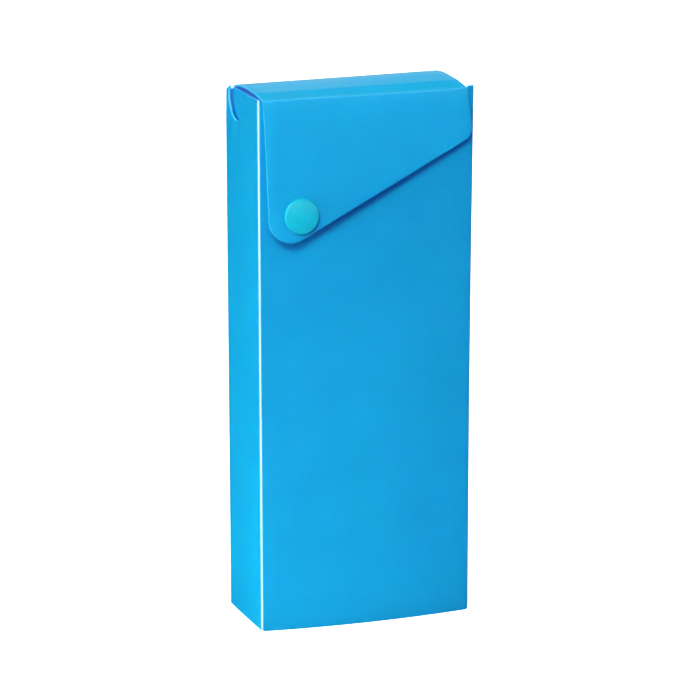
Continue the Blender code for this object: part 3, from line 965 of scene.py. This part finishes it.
def build_back_cap(placing):
    """The flat cap behind the sleeve's front, with the post that holds the stud."""
    inside = -SHEET - GAP
    profile = [(0.0, 0.0019), (0.0015, 0.0019), (POST_HEAD_RADIUS, 0.0017), (POST_RADIUS, 0.0016)]
    profile += [(POST_RADIUS, inside), (0.0053, inside)]
    profile += arc((0.0051, inside - FLANGE_ROUNDING), FLANGE_ROUNDING, 60, -60, 4)
    profile += [(0.0040, inside - 0.00075), (0.0, inside - 0.0009)]
    back_cap = lathe("press_stud_back_cap", profile, placing)
    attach(back_cap, "sleeve")
    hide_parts("snap_back_cap")


def build_snap():
    at_cap = at_flap(SNAP_X, SNAP_DROP)
    at_stud = at_front(SNAP_X, at_cap.translation.z)
    build_cap(at_cap)
    build_socket(at_cap)
    build_stud(at_stud)
    build_back_cap(at_stud)


# ---------------------------------------------------------------- stage, light and camera

FLOOR_SIZE = 30
FLOOR_HEIGHT = -0.0002
FLOOR_TONES = ((0.93, 0.93, 0.935), (0.95, 0.95, 0.95))
FLOOR_LIGHT = 0.8

# The shade under the flap is bluer than the lit sheet, so the fill light is bluer than the key.
AMBIENT = (0.20, 0.15, 0.34)
BACKDROP = (1.3, 1.3, 1.3)
KEY_COLOUR = (1.0, 1.0, 0.75)
TOP_COLOUR = (1.0, 1.0, 0.50)
KEY_PLACE = (-1.0, -1.6, 1.35)
CASE_MIDDLE = (0, 0, 0.12)
CASE_FOOT = (-0.03, -0.02, -0.02)
FRONT_FOOT = (-0.01, -0.02, -0.035)

CAMERA_PLACE = (-0.4174, -1.1614, 0.3853)
CAMERA_TILT = math.radians(77.27)
CAMERA_HEADING = math.radians(-19.79)
CAMERA_LENS = 163.2
CAMERA_SENSOR = 36


def build_stage():
    bpy.ops.mesh.primitive_plane_add(size=FLOOR_SIZE, location=(0, 0, FLOOR_HEIGHT))
    floor = bpy.context.object
    floor.name = "floor"
    material, tree, shader = new_material("studio_floor", roughness=0.9, specular=0.1)
    clouds = noise(tree, place_on(tree, False), scale=3, detail=1.0)
    tone = mix(tree, remap(tree, clouds, 0.0, 1.0), *FLOOR_TONES)
    tree.links.new(tone, shader.inputs["Base Color"])
    shader.inputs["Emission Color"].default_value = (1, 1, 1, 1)
    shader.inputs["Emission Strength"].default_value = FLOOR_LIGHT
    floor.data.materials.append(material)
    floor.visible_diffuse = False
    floor.visible_glossy = False


def softbox(name, location, aim, size, power, colour=(1, 1, 1), spread=180, mirrored=False):
    """A rectangular area light. Only a mirrored one shows in the gloss of what it lights."""
    data = bpy.data.lights.new(name, "AREA")
    data.shape = "RECTANGLE"
    data.size, data.size_y = size
    data.energy = power
    data.spread = math.radians(spread)
    data.color = colour
    lamp = linked(name, data)
    lamp.location = location
    lamp.visible_glossy = mirrored
    lamp.rotation_euler = (Vector(aim) - Vector(location)).to_track_quat("-Z", "Y").to_euler()


def build_light():
    """A white backdrop, a dim fill, a band of mirrored light over the horizon, and softboxes."""
    world = bpy.data.worlds.new("studio")
    bpy.context.scene.world = world
    world.use_nodes = True
    tree = world.node_tree
    background = tree.nodes["Background"]
    rays = add(tree, "LightPath")
    way = add(tree, "SeparateXYZ")
    tree.links.new(add(tree, "TexCoord").outputs["Generated"], way.inputs["Vector"])
    above = remap(tree, way.outputs["Z"], 0.95, 0.0, start=0.24, end=0.34)
    below = remap(tree, way.outputs["Y"], 0.12, 0.0, start=-0.3, end=0.3)
    horizon = remap(tree, way.outputs["Z"], 0.0, 1.0, start=0.03, end=0.13)
    mirrored = mix(tree, horizon, below, above)
    lighting = mix(tree, rays.outputs["Is Glossy Ray"], AMBIENT, mirrored)
    shown = mix(tree, rays.outputs["Is Camera Ray"], lighting, BACKDROP)
    tree.links.new(shown, background.inputs["Color"])
    softbox("key", KEY_PLACE, CASE_MIDDLE, (1.0, 1.0), 45.0, KEY_COLOUR, mirrored=True)
    softbox("kicker", KEY_PLACE, FRONT_FOOT, (0.2, 0.2), 0.12, KEY_COLOUR, spread=12)
    softbox("left", (-0.95, -0.15, 0.08), CASE_FOOT, (0.5, 0.14), 1.35, KEY_COLOUR, spread=70)
    softbox("top", (0.15, 0.30, 1.90), CASE_MIDDLE, (0.9, 0.9), 13.0, TOP_COLOUR)
    softbox("back", (1.8, 1.3, 1.2), CASE_MIDDLE, (1.2, 1.2), 40)


def build_camera():
    data = bpy.data.cameras.new("camera")
    data.lens = CAMERA_LENS
    data.sensor_width = CAMERA_SENSOR
    camera = linked("camera", data)
    camera.location = CAMERA_PLACE
    camera.rotation_euler = (CAMERA_TILT, 0, CAMERA_HEADING)
    bpy.context.scene.camera = camera


build_sleeve()
build_base("sleeve", CASE_WIDTH / 2, -CASE_DEPTH / 2, CASE_DEPTH / 2, 0.0, SLEEVE_BLUE)
build_tray()
build_base("tray", TRAY_WIDTH / 2, TRAY_FRONT, TRAY_BACK, TRAY_BASE, TRAY_BLUE)
build_lid()
build_snap()
for cad_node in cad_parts.values():
    cad_node.data.materials.append(INNER_BLUE)
build_stage()
build_light()
build_camera()
bpy.context.scene.view_settings.view_transform = "Standard"
